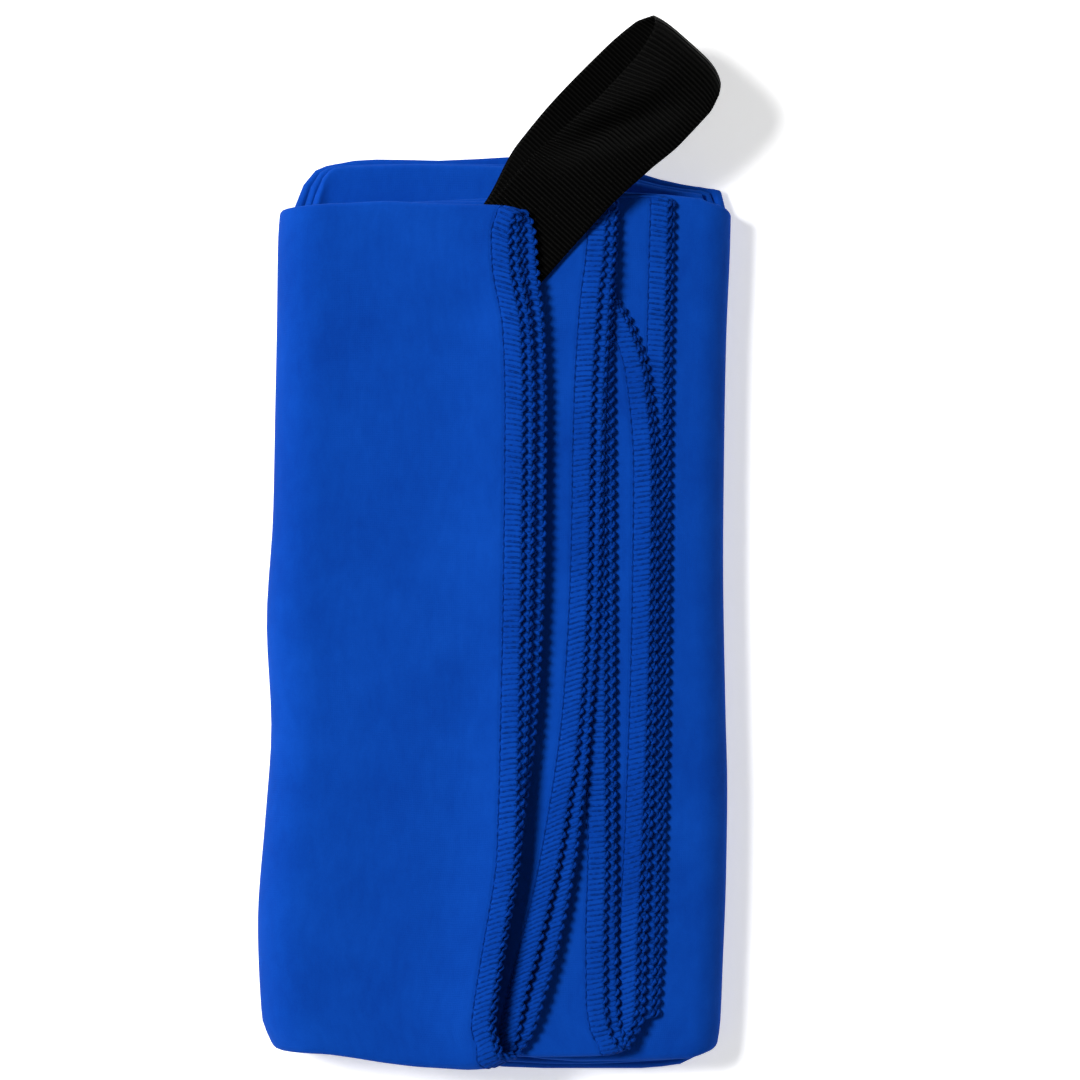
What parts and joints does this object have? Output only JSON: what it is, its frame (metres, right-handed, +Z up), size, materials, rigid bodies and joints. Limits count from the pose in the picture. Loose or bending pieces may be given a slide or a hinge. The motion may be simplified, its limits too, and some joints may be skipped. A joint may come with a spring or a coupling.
{
  "type": "quick dry towel",
  "caption": "Travel towel folded into a flat packet, with a front flap that opens like a book, overlocked hems stepped down its front and a ribbon loop to hang it by.",
  "frame": {"origin": "middle of the flat underside of the folded packet, without its loop", "axes": "+X across the packet towards the side that the hems face, +Y along it towards the hanging loop, +Z up out of the front flap"},
  "size_m": [0.112, 0.2527, 0.0257],
  "materials": {
    "towel_cloth": "fine royal blue microfibre suede, matt with a soft sheen",
    "overlock_thread": "textured blue overlock thread in close rows",
    "ribbon": "black grosgrain ribbon with fine cross ribs",
    "ribbon_thread": "black sewing thread"
  },
  "bodies": {
    "folded_stack": {"middle_layer_1": "towel_cloth", "middle_layer_2": "towel_cloth", "middle_layer_3": "towel_cloth", "middle_layer_4": "towel_cloth", "middle_layer_5": "towel_cloth", "middle_layer_6": "towel_cloth", "right_fold_1": "towel_cloth", "right_fold_2": "towel_cloth", "right_fold_3": "towel_cloth", "right_fold_4": "towel_cloth", "right_fold_5": "towel_cloth", "right_fold_6": "towel_cloth", "inner_layer_1": "towel_cloth", "inner_layer_2": "towel_cloth", "inner_layer_3": "towel_cloth", "inner_layer_4": "towel_cloth", "inner_layer_5": "towel_cloth", "inner_layer_6": "towel_cloth", "left_fold_1": "towel_cloth", "left_fold_2": "towel_cloth", "left_fold_3": "towel_cloth", "left_fold_4": "towel_cloth", "left_fold_5": "towel_cloth", "left_fold_6": "towel_cloth"},
    "front_flap": {"front_layer_1": "towel_cloth", "front_layer_2": "towel_cloth", "front_layer_3": "towel_cloth", "front_layer_4": "towel_cloth", "front_layer_5": "towel_cloth", "front_layer_6": "towel_cloth", "overlock_edge_1": "overlock_thread", "overlock_edge_2": "overlock_thread", "overlock_edge_3": "overlock_thread", "overlock_edge_4": "overlock_thread", "overlock_edge_5": "overlock_thread", "overlock_edge_6": "overlock_thread", "ribbon_root": "ribbon", "ribbon_stitching": "ribbon_thread"},
    "hanging_loop": {"ribbon_loop": "ribbon"}
  },
  "joints": [
    {"name": "front_flap_open", "type": "hinge", "parent": "folded_stack", "child": "front_flap", "pos_m": [-0.0501, 0, 0.0118], "axis": [0, -1, 0], "range_deg": [0, 180], "deforming": ["left_fold_1", "left_fold_2", "left_fold_3", "left_fold_4", "left_fold_5", "left_fold_6"]},
    {"name": "hanging_loop_lift", "type": "hinge", "parent": "front_flap", "child": "hanging_loop", "pos_m": [0.01256, 0.09791, 0.021], "axis": [0.7431, -0.6691, 0], "range_deg": [0, 90]}
  ]
}
